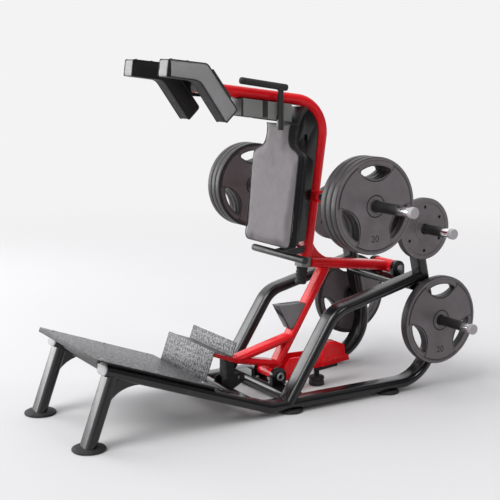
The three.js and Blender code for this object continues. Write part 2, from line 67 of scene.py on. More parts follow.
# ---------- materials ----------
class Nodes:
    """A material's node tree, with short calls for adding and linking nodes."""

    def __init__(self, name):
        self.material = bpy.data.materials.new(name)
        self.material.use_nodes = True
        self.tree = self.material.node_tree
        self.shader = self.tree.nodes["Principled BSDF"]

    def add(self, kind, inputs=None, **settings):
        """Adds a node; an input is a value or the socket that feeds it."""
        node = self.tree.nodes.new("ShaderNode" + kind)
        for key, value in settings.items():
            setattr(node, key, value)
        for key, value in (inputs or {}).items():
            if isinstance(value, bpy.types.NodeSocket):
                self.tree.links.new(value, node.inputs[key])
            else:
                node.inputs[key].default_value = value
        return node

    def set(self, key, value):
        """Sets or links an input of the material's own shader."""
        if isinstance(value, bpy.types.NodeSocket):
            self.tree.links.new(value, self.shader.inputs[key])
        else:
            self.shader.inputs[key].default_value = value

    def place(self, stretch=(1, 1, 1)):
        """Position on the object, in metres, stretched along the axes."""
        coord = self.add("TexCoord")
        return self.add("Mapping", {"Vector": coord.outputs["Object"], "Scale": stretch}).outputs[0]

    def noise(self, scale, detail=3.0, where=None):
        inputs = {"Vector": where or self.place(), "Scale": scale, "Detail": detail}
        return self.add("TexNoise", inputs).outputs["Fac"]

    def math(self, operation, a, b=0.0):
        return self.add("Math", {0: a, 1: b}, operation=operation).outputs[0]

    def spread(self, value, low, high, start=0.3, end=0.7):
        """value from start..end carried over to low..high."""
        inputs = {"Value": value, 1: start, 2: end, 3: low, 4: high}
        return self.add("MapRange", inputs).outputs["Result"]

    def mix(self, factor, a, b):
        node = self.add("Mix", data_type="RGBA")
        for socket, value in ((node.inputs[0], factor), (node.inputs[6], a), (node.inputs[7], b)):
            if isinstance(value, bpy.types.NodeSocket):
                self.tree.links.new(value, socket)
            elif isinstance(value, float):
                socket.default_value = value
            else:
                socket.default_value = (*value, 1)
        return node.outputs[2]

    def bump(self, height, distance, strength=1.0, below=None):
        inputs = {"Height": height, "Distance": distance, "Strength": strength}
        if below is not None:
            inputs["Normal"] = below
        return self.add("Bump", inputs).outputs["Normal"]


def shade(colour, k):
    """colour made k times as bright."""
    return tuple(min(1.0, c * k) for c in colour)


def painted(name, colour, rough, coat, peel, shine=0.5):
    """Sprayed or powder paint: orange peel, faint tone change, dust and small scuffs."""
    n = Nodes(name)
    tone = n.mix(n.spread(n.noise(5, 4), 0, 1), shade(colour, 0.86), shade(colour, 1.12))
    scuff = n.spread(n.noise(60, 8, n.place((1, 0.25, 1))), 0, 1, 0.66, 0.74)
    worn = tuple(0.6 * c + 0.05 for c in colour)
    n.set("Base Color", n.mix(n.math("MULTIPLY", scuff, 0.35), tone, worn))
    n.set("Roughness", n.spread(n.noise(22, 6), rough * 0.85, rough * 1.25))
    n.set("Normal", n.bump(n.noise(420, 2), 0.0004, peel))
    n.set("Coat Weight", coat)
    n.set("Coat Roughness", 0.08)
    n.set("Specular IOR Level", shine)
    return n.material


def chromed(name):
    """Polished chrome with faint turning marks round the X axis."""
    n = Nodes(name)
    streaks = n.noise(40, 6, n.place((1, 14, 14)))
    n.set("Base Color", n.mix(n.spread(streaks, 0, 1), (0.72, 0.72, 0.74), (0.86, 0.86, 0.87)))
    n.set("Metallic", 1.0)
    n.set("Roughness", n.spread(n.noise(30, 8, n.place((0.3, 20, 20))), 0.09, 0.24))
    n.set("Normal", n.bump(n.noise(300, 4, n.place((0.1, 3, 3))), 0.0001, 0.25))
    return n.material


def moulded(name, colour, rough, grain, depth, shine=0.5):
    """Moulded rubber or plastic: fine grain, chalky patches, soft tone change."""
    n = Nodes(name)
    n.set("Specular IOR Level", shine)
    tone = n.mix(n.spread(n.noise(7, 5), 0, 1), shade(colour, 0.85), shade(colour, 1.15))
    dusty = n.spread(n.noise(28, 9), 0, 0.35, 0.5, 0.75)
    n.set("Base Color", n.mix(dusty, tone, tuple(c * 1.25 + 0.01 for c in colour)))
    n.set("Roughness", n.spread(n.noise(50, 6), rough * 0.88, min(1, rough * 1.15)))
    fine = n.bump(n.noise(grain, 3), depth, 0.5)
    n.set("Normal", n.bump(n.noise(90, 4), depth * 3, 0.12, fine))
    return n.material


def vinyl(name, colour, rough=0.52, shine=0.5):
    """Upholstery vinyl: leather grain about 1.5 mm across with its valleys painted darker as shade, soft
    creases and sheen.
    """
    n = Nodes(name)
    n.set("Specular IOR Level", shine)
    cells = n.add("TexVoronoi", {"Vector": n.place(), "Scale": 620.0}, feature="DISTANCE_TO_EDGE")
    crease = n.math("MINIMUM", n.math("MULTIPLY", cells.outputs["Distance"], 6.0), 1.0)
    tone = n.mix(n.spread(n.noise(9, 5), 0, 1), shade(colour, 0.9), shade(colour, 1.1))
    # The valleys between the grain cells are painted darker: painted shade.
    n.set("Base Color", n.mix(crease, shade(colour, 0.72), tone))
    n.set("Roughness", n.spread(n.noise(35, 6), rough * 0.9, rough * 1.15))
    fine = n.bump(crease, 0.00035, 0.45)
    n.set("Normal", n.bump(n.noise(38, 3), 0.003, 0.16, fine))
    n.set("Sheen Weight", 0.16 * shine)
    return n.material


TREAD_PITCH, TREAD_RISE = 0.024, 0.0022         # metres
LOZENGE_LENGTH, LOZENGE_WIDTH = 0.56, 0.19      # as shares of the pitch


def checker(name, along, colour, dirt):
    """Rolled tread plate: raised lozenges, each at right angles to its neighbours, their tops painted
    lighter as a highlight, and speckled.

    along is the (y, z) direction that the rows run in; dirt is the scale of the speckle.
    """
    n = Nodes(name)
    coord = n.add("TexCoord").outputs["Object"]
    across = n.add("SeparateXYZ", {0: coord}).outputs[0]
    run = n.add("VectorMath", {0: coord, 1: (0.0, *along)}, operation="DOT_PRODUCT").outputs["Value"]
    u, v = (n.math("DIVIDE", axis, TREAD_PITCH) for axis in (across, run))
    cell = n.math("ABSOLUTE", n.math("ADD", n.math("FLOOR", u), n.math("FLOOR", v)))
    even = n.math("MODULO", cell, 2.0)
    lu, lv = (n.math("SUBTRACT", n.math("FRACT", axis), 0.5) for axis in (u, v))
    flip = n.math("SUBTRACT", n.math("MULTIPLY", even, 2.0), 1.0)
    side = n.math("MULTIPLY", lv, flip)
    length = n.math("DIVIDE", n.math("ADD", lu, side), LOZENGE_LENGTH)
    width = n.math("DIVIDE", n.math("SUBTRACT", lu, side), LOZENGE_WIDTH)
    away = n.math("ADD", n.math("POWER", n.math("ABSOLUTE", length), 2.0),
                  n.math("POWER", n.math("ABSOLUTE", width), 2.0))
    raised = n.spread(away, 1.0, 0.0, 0.45, 1.0)
    worn = n.spread(n.noise(45, 8), 0, 1, 0.35, 0.7)
    speckle = n.spread(n.noise(dirt, 2), 0, 1, 0.42, 0.6)
    base = n.mix(speckle, shade(colour, 0.3), shade(colour, 1.6))
    # The raised tops are painted lighter than the ground: painted highlight on the relief, mottled by
    # random wear.
    top = n.mix(worn, shade(colour, 1.2), shade(colour, 2.2))
    n.set("Base Color", n.mix(raised, base, top))
    n.set("Metallic", 0.6)
    n.set("Roughness", n.mix(raised, (0.5,) * 3, (0.34,) * 3))
    grit = n.bump(n.noise(600, 4), 0.0003, 0.4)
    n.set("Normal", n.bump(raised, TREAD_RISE, 1.0, grit))
    return n.material


BLACK = painted("black_powder_coat", (0.006, 0.006, 0.007), 0.2, 0.0, 0.2)
RED = painted("gloss_red_paint", (0.74, 0.008, 0.014), 0.24, 0.1, 0.1, 0.22)
CHROME = chromed("chrome")
ZINC = painted("bolt_zinc", (0.30, 0.30, 0.31), 0.35, 0.0, 0.2)
RUBBER = moulded("black_rubber", (0.016, 0.016, 0.017), 0.72, 900.0, 0.0002)
SLEEVE = moulded("black_sleeve", (0.009, 0.0085, 0.009), 0.4, 500.0, 0.0001)
PLATE = moulded("plate_rubber", (0.128, 0.114, 0.120), 0.42, 700.0, 0.0002)
# Darker copy of the plate rubber: painted shade on the rims and the walls of the holes.
PLATE_WALL_SHADE = moulded("plate_wall_painted_shade", (0.030, 0.027, 0.028), 0.4, 700.0, 0.0002, 0.3)
# Near-black rubber: painted shade in the seam between plates and painted shadow round the raised panel,
# and the dark hub ring and numbers.
PLATE_DARK_AND_SHADE = moulded("plate_dark_and_painted_shade", (0.018, 0.017, 0.018), 0.7, 700.0, 0.0003)
CAP = moulded("end_cap_grey", (0.34, 0.33, 0.34), 0.42, 500.0, 0.0001)
GREY = painted("satin_grey", (0.21, 0.218, 0.205), 0.42, 0.0, 0.3)
WEDGE = painted("wedge_grey", (0.21, 0.196, 0.205), 0.45, 0.0, 0.3)
PAD_GREY = vinyl("vinyl_grey", (0.116, 0.101, 0.109))
SHOULDER_GREY = vinyl("vinyl_mid_grey", (0.285, 0.281, 0.284))
PAD_PALE = vinyl("vinyl_pale", (0.25, 0.25, 0.25))
PAD_DARK = vinyl("vinyl_charcoal", (0.018, 0.017, 0.018), 0.5, 0.12)
PIPING = moulded("vinyl_piping", (0.010, 0.010, 0.011), 0.6, 700.0, 0.0001)
TREAD = checker("tread_plate", DOWN_SLOPE, (0.14, 0.14, 0.142), 85)
# Darker copy of the tread plate for the upright kick plate and the pedal: painted shade.
TREAD_UPRIGHT_SHADED = checker("tread_plate_upright_painted_shade", OFF_SLOPE, (0.10, 0.10, 0.102), 110)
PLATE_STEEL = moulded("sheared_edge", (0.022, 0.022, 0.023), 0.5, 500.0, 0.0001, 0.25)


# ---------- mesh helpers ----------
def mesh_object(name, bm, materials, smooth=38):
    """A new object from bm, shaded smooth below the given edge angle."""
    mesh = bpy.data.meshes.new(name)
    bmesh.ops.recalc_face_normals(bm, faces=bm.faces)
    bm.to_mesh(mesh)
    bm.free()
    for m in materials if isinstance(materials, (list, tuple)) else [materials]:
        mesh.materials.append(m)
    mesh.shade_smooth()
    mesh.set_sharp_from_angle(angle=math.radians(smooth))
    obj = bpy.data.objects.new(name, mesh)
    bpy.context.collection.objects.link(obj)
    return obj


def finish_piece(obj, body, slot, *nodes):
    """Rides obj on its body and hides the CAD nodes it replaces, if given; slot is not used."""
    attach(obj, body)
    if nodes:
        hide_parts(*nodes)
    return obj


def loft(bm, rings, material=0):
    """Skins closed rings of equal length, with a cap at each end."""
    loops = [[bm.verts.new(p) for p in ring] for ring in rings]
    count = len(loops[0])
    for a, b in zip(loops, loops[1:]):
        for i in range(count):
            face = bm.faces.new((a[i], a[(i + 1) % count], b[(i + 1) % count], b[i]))
            face.material_index = material
    for loop in (loops[0], loops[-1]):
        bm.faces.new(loop).material_index = material


END_STEPS = 12      # steps round each end of a flat-oval tube
BEND_STEP = 3.0     # degrees between the stations of a bend


def oval(w, h):
    """Flat-oval outline (x, n), long side along x."""
    r = h / 2
    points = []
    for s in (1, -1):
        for i in range(END_STEPS + 1):
            a = -math.pi / 2 + math.pi * i / END_STEPS
            points.append((s * (w / 2 - r + r * math.cos(a)), s * r * math.sin(a)))
    return points


def route(corners):
    """Stations (y, z, heading) through side-plane corners (y, z, bend radius)."""
    stations = []
    last = len(corners) - 1
    for i, corner in enumerate(corners):
        if i in (0, last):
            a, b = (corners[0], corners[1]) if i == 0 else (corners[-2], corners[-1])
            stations.append((corner[0], corner[1], math.atan2(b[1] - a[1], b[0] - a[0])))
            continue
        before = math.atan2(corner[1] - corners[i - 1][1], corner[0] - corners[i - 1][0])
        after = math.atan2(corners[i + 1][1] - corner[1], corners[i + 1][0] - corner[0])
        bend = (after - before + math.pi) % (2 * math.pi) - math.pi
        side = math.copysign(1, bend)
        run = corner[2] * math.tan(abs(bend) / 2)
        y, z = corner[0] - run * math.cos(before), corner[1] - run * math.sin(before)
        cy = y - side * corner[2] * math.sin(before)
        cz = z + side * corner[2] * math.cos(before)
        steps = max(2, round(math.degrees(abs(bend)) / BEND_STEP))
        for k in range(steps + 1):
            a = before + bend * k / steps
            stations.append((cy + side * corner[2] * math.sin(a),
                             cz - side * corner[2] * math.cos(a), a))
    return stations


def ring_at(station, x, outline, scale=1.0):
    """The outline as a ring square to the tube at a station of its route."""
    y, z, a = station
    return [mm(x + px * scale, y - pn * scale * math.sin(a), z + pn * scale * math.cos(a))
            for px, pn in outline]


def cut_ring(ring, heading, plane):
    """Slides a ring's points along the heading onto a side plane line (y, z, angle)."""
    y, z, angle = plane
    q, normal = mm(0, y, z), Vector((0, -math.sin(angle), math.cos(angle)))
    t = Vector((0, math.cos(heading), math.sin(heading)))
    return [p + t * ((q - p).dot(normal) / t.dot(normal)) for p in ring]


PLUG = ((-1, 0.93), (2.5, 0.93), (4.5, 0.88), (5.5, 0.78))     # (mm past the end, scale)


def tube(bm, corners, x=0, w=TUBE_W, h=TUBE_H, cut_start=None, cut_end=None, plug=(None, None)):
    """Flat-oval tube along side-plane corners.

    cut_start and cut_end are lines (y, z, angle) that cut the ends; plug sets the materials of
    the plastic end plugs, None for an end without one.
    """
    outline = oval(w, h)
    stations = route(corners)
    rings = [ring_at(s, x, outline) for s in stations]
    if cut_start:
        rings[0] = cut_ring(rings[0], stations[0][2], cut_start)
    if cut_end:
        rings[-1] = cut_ring(rings[-1], stations[-1][2], cut_end)
    loft(bm, rings)
    for index, station, sign in ((plug[0], stations[0], -1), (plug[1], stations[-1], 1)):
        if index is None:
            continue
        y, z, a = station
        caps = []
        for out, scale in PLUG:
            spot = (y + sign * out * math.cos(a), z + sign * out * math.sin(a), a)
            caps.append(ring_at(spot, x, outline, scale))
        loft(bm, caps, index)


def turn(bm, profile, spot, axis="x", segments=48, material=0):
    """Turned solid: profile of (radius, distance along axis) from axis to axis, at spot in mm."""
    x, y, z = spot
    rings = []
    for r, t in profile:
        ring = []
        for i in range(segments):
            a = 2 * math.pi * i / segments
            c, s = max(r, 0.05) * math.cos(a), max(r, 0.05) * math.sin(a)
            ring.append(mm(x + t, y + c, z + s) if axis == "x" else mm(x + c, y + s, z + t))
        rings.append(ring)
    loft(bm, rings, material)


def soft_edge(r, t0, t1, edge):
    """Profile of a disc of radius r from t0 to t1, in either direction, with rounded rims."""
    along = math.copysign(edge, t1 - t0)
    quarter = [math.pi / 2 * i / 4 for i in range(5)]
    near = [(r - edge + edge * math.sin(a), t0 + along - along * math.cos(a)) for a in quarter]
    far = [(r - edge + edge * math.cos(a), t1 - along + along * math.sin(a)) for a in quarter]
    return [(0, t0), *near, *far, (0, t1)]


def mesh_of(curve):
    """Turns a curve or a text into a mesh."""
    obj = bpy.data.objects.new(curve.name, curve)
    bpy.context.collection.objects.link(obj)
    bpy.context.view_layer.update()
    mesh = bpy.data.meshes.new_from_object(obj.evaluated_get(bpy.context.evaluated_depsgraph_get()))
    bpy.data.objects.remove(obj)
    return mesh


def closed_line(curve, points):
    """Adds a closed line through points in metres."""
    spline = curve.splines.new("POLY")
    spline.points.add(len(points) - 1)
    for p, co in zip(spline.points, points):
        p.co = (*co, 1)
    spline.use_cyclic_u = True


def flat_shape(outlines, x0, x1, edge, resolution=2):
    """Sheet cut to side-plane outlines (y, z in mm), holes included, with rounded edges."""
    curve = bpy.data.curves.new("outline", "CURVE")
    curve.dimensions, curve.fill_mode = "2D", "BOTH"
    curve.extrude = ((x1 - x0) / 2 - edge) / 1000
    curve.bevel_depth, curve.bevel_resolution = edge / 1000, resolution
    curve.offset = -edge / 1000
    for points in outlines:
        closed_line(curve, [((y - MID_Y) / 1000, z / 1000, 0) for y, z in points])
    mesh = mesh_of(curve)
    to_side = Matrix(((0, 0, 1, (x0 + x1) / 2000), (1, 0, 0, 0), (0, 1, 0, 0), (0, 0, 0, 1)))
    mesh.transform(to_side)
    return mesh


def add_mesh(bm, mesh, material=0):
    """Adds a mesh to bm and frees it."""
    first = len(bm.faces)
    bm.from_mesh(mesh)
    bm.faces.ensure_lookup_table()
    for face in bm.faces[first:]:
        face.material_index = material
    bpy.data.meshes.remove(mesh)


def circle(centre, r, count=64):
    cy, cz = centre
    return [(cy + r * math.cos(2 * math.pi * i / count), cz + r * math.sin(2 * math.pi * i / count))
            for i in range(count)]


def path(*steps):
    """Outline from points (y, z) and quadratic bends (cy, cz, y, z)."""
    points = []
    for step in steps:
        if len(step) == 2:
            points.append(tuple(step))
            continue
        (y0, z0), (cy, cz, y1, z1) = points[-1], step
        for i in range(1, 9):
            t = i / 8
            points.append(((1 - t) ** 2 * y0 + 2 * t * (1 - t) * cy + t * t * y1,
                           (1 - t) ** 2 * z0 + 2 * t * (1 - t) * cz + t * t * z1))
    return points


def add_tilted(bm, part, lean, spot, material=0):
    """Moves part, drawn about (0, 0, 0), to spot in mm, leaning about X, and adds it to bm."""
    tilt, origin = Matrix.Rotation(lean, 4, "X"), mm(0, 0, 0)
    for v in part.verts:
        v.co = tilt @ (v.co - origin) + mm(*spot)
    mesh = bpy.data.meshes.new("tilted")
    part.to_mesh(mesh)
    part.free()
    add_mesh(bm, mesh, material)


def remade(node, body, slot, materials, edge):
    """The CAD node's own shape with its edges rounded by edge mm."""
    bm = bmesh.new()
    bm.from_mesh(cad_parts[node].data)
    bmesh.ops.remove_doubles(bm, verts=bm.verts, dist=1e-5)
    bmesh.ops.dissolve_limit(bm, angle_limit=math.radians(1), verts=bm.verts, edges=bm.edges)
    sharp = [e for e in bm.edges if len(e.link_faces) == 2 and e.calc_face_angle() > math.radians(28)]
    bmesh.ops.bevel(bm, geom=sharp, offset=edge / 1000, segments=3, profile=0.5, affect="EDGES",
                    clamp_overlap=True)
    obj = mesh_object(node + "_finished", bm, materials)
    return finish_piece(obj, body, slot, node)


WASHER = 1.6        # thickness, mm


def hex_bolt(bm, spot, axis, r, head):
    """Hex bolt head on a washer, r mm across a corner and head mm high, pointing along axis."""
    turn_to = Vector(axis).normalized().to_track_quat("Z", "Y")
    for radius, low, high, count in ((r * 1.45, 0, WASHER, 24), (r, WASHER, WASHER + head, 6)):
        rings = []
        for out, k in ((low, 1), (high - 1, 1), (high, 0.86)):
            rings.append([mm(*spot) + turn_to @ Vector((
                radius * k * math.cos(2 * math.pi * i / count),
                radius * k * math.sin(2 * math.pi * i / count), out)) / 1000 for i in range(count)])
        loft(bm, rings)


# ---------- fixed frame ----------
def on_rail(a, b):
    """Point a mm down the sloping rail's top and b mm above it."""
    up = TUBE_H / 2 + b
    return tuple(RAIL_START[i] + a * DOWN_SLOPE[i] + up * OFF_SLOPE[i] for i in (0, 1))


def side_frames():
    paths = {
        "base_rail": ((RAIL_START, (904, FLOOR_RAIL_Z, 150), (1660, FLOOR_RAIL_Z)), (1, None)),
        "rear_post": (((1660, FLOOR_RAIL_Z), (1958.2, FLOOR_RAIL_Z, 210), (1760, 867)), (None, 2)),
        "upright_rail": (((1014, FLOOR_RAIL_Z), (1282, 457, 150), (1826, 587.6)), (None, None)),
    }
    for tag, s in SIDES:
        for name, (corners, plug) in paths.items():
            bm = bmesh.new()
            tube(bm, corners, s * SIDE_X, plug=plug)
            obj = mesh_object(f"{name}_{tag}_tube", bm, [BLACK, CAP, RUBBER])
            finish_piece(obj, "frame", "black_paint", f"{name}_{tag}")


def front_legs():
    """Legs cut level just above their feet, with a thin curved gusset behind each."""
    floor_line = (0, 16.2, 0.0)
    low, top = on_rail(43, -378), on_rail(43, -20)
    corner = (131.4, 305.2)
    rear = (corner[0] + 165 * DOWN_SLOPE[0], corner[1] + 165 * DOWN_SLOPE[1])
    foot = (corner[0] - 150 * OFF_SLOPE[0], corner[1] - 150 * OFF_SLOPE[1])
    web = path((corner[0] - 20, corner[1] + 6), (corner[0] + 12, corner[1] + 9),
               (rear[0] + 3, rear[1] + 6), rear, (corner[0] + 12, corner[1] - 30, *foot),
               (foot[0] - 20, foot[1]))
    for tag, s in SIDES:
        bm = bmesh.new()
        tube(bm, (low, top), s * SIDE_X, cut_start=floor_line)
        add_mesh(bm, flat_shape([web], s * SIDE_X - 3, s * SIDE_X + 3, 1))
        obj = mesh_object(f"front_leg_{tag}_tube", bm, BLACK)
        finish_piece(obj, "frame", "black_paint", f"front_leg_{tag}")


def feet():
    """Round rubber feet, each with a bevelled rim and a low collar."""
    for tag, s in SIDES:
        for name, y, r in (("front", 2, 75), ("mid", 1036, 65), ("rear", 1622, 65)):
            bm = bmesh.new()
            turn(bm, [(0, 0), (r - 5, 0), (r, 3), (r, 8), (r - 2, 10.5), (r - 9, 12), (r - 11, 15),
                      (r - 14, 15.7), (0, 15.7)], (s * SIDE_X, y, 0), "z", 64)
            obj = mesh_object(f"foot_{name}_{tag}_disc", bm, RUBBER)
            finish_piece(obj, "frame", "black_rubber", f"foot_{name}_{tag}")


CROSS_X = 262       # half the length of a cross tube


def cross_tube(name, cy, cz, w=TUBE_W, angle=0.0):
    outline = oval(w, TUBE_H)
    rings = []
    for x in (-CROSS_X, CROSS_X):
        rings.append([mm(x, cy + a * math.cos(angle) - b * math.sin(angle),
                         cz + a * math.sin(angle) + b * math.cos(angle)) for a, b in outline])
    bm = bmesh.new()
    loft(bm, rings)
    obj = mesh_object(name + "_bar", bm, BLACK)
    finish_piece(obj, "frame", "black_paint", name)


def cross_tubes():
    slope = math.atan2(DOWN_SLOPE[1], DOWN_SLOPE[0])
    cross_tube("front_cross_tube", *on_rail(54, -TUBE_H / 2), w=50)
    cross_tube("mid_cross_tube", *on_rail(773, -TUBE_H / 2), angle=slope)
    cross_tube("base_cross_tube", LOCK_HINGE[0], FLOOR_RAIL_Z)
    cross_tube("rear_cross_tube", 1836, 525)


def platform():
    """Tread plates, the large one with plain sheared edges, and the rest under the lock."""
    deck = remade("foot_platform", "frame", "checker_plate", [TREAD, PLATE_STEEL], 1.2)
    for face in deck.data.polygons:
        facing_up = abs(face.normal.y * OFF_SLOPE[0] + face.normal.z * OFF_SLOPE[1])
        face.material_index = int(facing_up < 0.7)
    remade("kick_plate", "frame", "checker_plate", TREAD_UPRIGHT_SHADED, 1.2)
    remade("pedal_rest", "frame", "black_rubber", RUBBER, 4)


def stops():
    remade("stop_channel", "frame", "red_paint", RED, 1.6)
    remade("stop_foot", "frame", "black_rubber", RUBBER, 2)
    remade("stop_pad", "frame", "black_rubber", RUBBER, 3)


def hinges():
    remade("lock_bracket", "frame", "black_paint", BLACK, 2)
    for tag, _ in SIDES:
        remade(f"pillow_block_{tag}", "frame", "black_paint", BLACK, 2.5)


def rod(x0, x1):
    """Profile of a plain horn between x0 and x1."""
    return [(0, x0), (HORN_R, x0), (HORN_R, x1), (0, x1)]


def storage_horn(name, centre, tip, s):
    """Chrome horn with a flange on the post, a black sleeve and a pale end cap."""
    post_x, sleeve_x, sleeve_r, cap_r, cap = 342, 402, 24.2, 25.5, 26
    spot = (0, *centre)
    bm = bmesh.new()
    turn(bm, soft_edge(FLANGE_R, s * post_x, s * (post_x + 13), 2.5), spot)
    turn(bm, rod(s * (post_x - 6), s * (tip - cap + 2)), spot, material=1)
    turn(bm, soft_edge(sleeve_r, s * sleeve_x, s * (tip - cap - 50), 1.5), spot, material=2)
    turn(bm, soft_edge(cap_r, s * (tip - cap), s * tip, 4), spot, material=3)
    obj = mesh_object(name + "_turned", bm, [BLACK, CHROME, SLEEVE, CAP], 50)
    finish_piece(obj, "frame", "chromed_steel", name)


def storage_horns():
    for tag, s in SIDES:
        storage_horn(f"horn_small_{tag}", SMALL_HORN, 606, s)
        storage_horn(f"horn_big_{tag}", BIG_HORN, 640, s)


def frame_bolts():
    """Bolt heads on the platform, the hinges and the pedal rest, and the rings of the lock pin."""
    pin_ring = ((9, 109), (19, 109), (21, 112), (20, 115), (15, 117), (12, 115), (11, 110), (9, 109))
    bm = bmesh.new()
    for s in (-1, 1):
        for y in (70, 330, 560):
            p = on_rail((y - RAIL_START[0]) / DOWN_SLOPE[0] - 10, 16.8)
            hex_bolt(bm, (s * SIDE_X, *p), (0, *OFF_SLOPE), 7, 4)
        for y in (LOCK_HINGE[0] - 28, LOCK_HINGE[0] + 28):
            hex_bolt(bm, (s * 58, y, 73.8), (0, 0, 1), 7, 5)
        turn(bm, [(r, s * x) for r, x in pin_ring], (0, *LOCK_HINGE), segments=40)
        hex_bolt(bm, (s * 114, *HINGE), (s, 0, 0), 12, 7)
        hex_bolt(bm, (s * 42.2, 905, 122), (s, 0, 0), 6, 4)
    finish_piece(mesh_object("frame_bolts", bm, ZINC, 30), "frame", "chromed_steel")


# ---------- weight plates ----------
# Hand holes: outer edge, inner edge, directions; then the raised panel's lobes and waists.
HOLE_R, HOLE_HALF_ANGLE = 186, 26
HOLE_HALF_WIDTH, HOLE_BOW_R, HOLE_BOW_OUT = 86, 135.6, 259.6
THIRDS = tuple(math.radians(90 + 120 * k) for k in range(3))
LOBE_R, LOBE_HALF_ANGLE, WAIST_R, WAIST_HALF_WIDTH = 203, 31, 112, 100
# Rim's inner radius; outer and inner radius of the painted shade ring in the seam between plates; hub ring
# radii.
RIM_INNER_R, SEAM_SHADE_R, HUB_RING = 207, (222.4, 212), (54, 46)
RING_R, RING_HOLE_R = 108, 7                # ring of holes in the small plates
GRIP_T, STORED_T, SMALL_T = 39.7, 44, 39    # thicknesses
WORK_X, WORK_STEP = 463.3, 40               # inner face of the first working plate; spacing


def turned_to(centre, a, points):
    """Points (across, out) as seen in direction a from the centre."""
    return [(centre[0] + out * math.cos(a) - across * math.sin(a),
             centre[1] + out * math.sin(a) + across * math.cos(a)) for across, out in points]


def hand_hole(centre, a, grow=0.0):
    """Hand hole in direction a: the outer edge follows the rim, the inner bows to the hub."""
    points = []
    r = HOLE_R + grow * 0.25
    for i in range(-12, 13):
        b = math.radians(i * (HOLE_HALF_ANGLE + grow / 4) / 12)
        points.append((r * math.sin(b), r * math.cos(b)))
    for i in range(12, -13, -1):
        c = i * (HOLE_HALF_WIDTH + grow) / 12
        points.append((c, HOLE_BOW_OUT - grow - math.sqrt(HOLE_BOW_R ** 2 - c ** 2 * 0.99)))
    return turned_to(centre, a, points)


def lobes(centre, grow=0.0):
    """Three-lobed raised panel between the hand holes."""
    points = []
    r = LOBE_R + grow
    for hole in THIRDS:
        for i in range(-8, 9):
            a = hole - math.radians(60 - i * LOBE_HALF_ANGLE / 8)
            points.append((centre[0] + r * math.cos(a), centre[1] + r * math.sin(a)))
        waist = []
        for i in range(-6, 7):
            across = i * WAIST_HALF_WIDTH / 6
            waist.append((across, WAIST_R + grow + 62 * (abs(across) / 108) ** 2.1))
        points += turned_to(centre, hole, waist)
    return points


def digits(text, cy, cz, x, size, s):
    """Small raised number at (cy, cz) on the face at x, readable from outside."""
    curve = bpy.data.curves.new("digits", "FONT")
    curve.body, curve.size, curve.extrude = text, size / 1000, 0.0012
    curve.align_x = curve.align_y = "CENTER"
    mesh = mesh_of(curve)
    mesh.transform(Matrix(((0, 0, s, x / 1000), (s, 0, 0, (cy - MID_Y) / 1000), (0, 1, 0, cz / 1000),
                           (0, 0, 0, 1))))
    return mesh


def flat_ring(centre, outer, inner, count=64):
    """Outlines of a flat ring between two radii."""
    return [circle(centre, outer, count), circle(centre, inner, count)]


def grip_plate(name, body, centre, x0, t, s, mark):
    """Rubber grip plate: rim and web with hand holes, raised three-lobed panel, hub ring."""
    low, high = sorted((s * x0, s * (x0 + t)))
    bm = bmesh.new()
    holes = [hand_hole(centre, a) for a in THIRDS]
    bore = circle(centre, BORE_R, 40)
    add_mesh(bm, flat_shape([circle(centre, PLATE_R, 128), bore] + holes, low + 3, high - 3, 5, 3))
    add_mesh(bm, flat_shape(flat_ring(centre, PLATE_R - 0.5, RIM_INNER_R, 128), low, high, 8, 4))
    # A thin near-black ring where the plate meets the next: painted shade in the seam between plates.
    seam = sorted((s * (x0 - 0.15), s * (x0 + 1.3)))
    seam_shade = [circle(centre, SEAM_SHADE_R[0], 128), circle(centre, SEAM_SHADE_R[1])]
    add_mesh(bm, flat_shape(seam_shade, *seam, 0.3), 1)
    # A near-black sheet a little wider than the lobes, seen round their edges: painted shadow of the
    # raised panel.
    add_mesh(bm, flat_shape([lobes(centre, 3.5), bore], low + 2.4, high - 2.4, 0.3), 1)
    add_mesh(bm, flat_shape([lobes(centre), bore], low + 0.2, high - 0.2, 2.5))
    add_mesh(bm, flat_shape(flat_ring(centre, *HUB_RING), low, high, 1.5), 1)
    for a in THIRDS:
        lip = [hand_hole(centre, a, 5), hand_hole(centre, a, 0.5)]
        add_mesh(bm, flat_shape(lip, low + 1, high - 1, 1.5))
    if mark:
        face = s * (x0 + t) - s * 0.8
        add_mesh(bm, digits("20", centre[0], centre[1] - 152, face, 46, s), 1)
    finish_plate(name, body, bm, centre)


# The third material is the darker copy that paints shade on the rim and hole walls.
def finish_plate(name, body, bm, centre):
    obj = mesh_object(name + "_moulded", bm, [PLATE, PLATE_DARK_AND_SHADE, PLATE_WALL_SHADE], 34)
    paint_wall_shade(obj, centre, 60)
    finish_piece(obj, body, "plate_rubber", name)


def paint_wall_shade(obj, centre, inside):
    """Paints shade on the rim and the walls of the holes beyond radius inside, in a darker copy of the
    plate rubber.
    """
    hub = mm(0, *centre)
    for face in obj.data.polygons:
        out = math.hypot(face.center.y - hub.y, face.center.z - hub.z) * 1000
        if face.material_index == 0 and abs(face.normal.x) < 0.72 and out > inside:
            face.material_index = 2


def small_plate(name, body, centre, s):
    """Flat plate with a stepped face and a ring of small holes."""
    low, high = sorted((s * STORED_X, s * (STORED_X + SMALL_T)))
    holes = []
    for k in range(6):
        a = math.pi / 6 + k * math.pi / 3
        spot = turned_to(centre, a, [(0, RING_R)])[0]
        holes.append(circle(spot, RING_HOLE_R, 20))
    bm = bmesh.new()
    bore = circle(centre, BORE_R, 40)
    add_mesh(bm, flat_shape([circle(centre, SMALL_R, 96), bore] + holes, low + 3, high - 3, 4, 3))
    add_mesh(bm, flat_shape(flat_ring(centre, SMALL_R + 1, 130, 96), low, high, 4, 3))
    add_mesh(bm, flat_shape([circle(centre, 60), bore], low, high, 2))
    finish_plate(name, body, bm, centre)


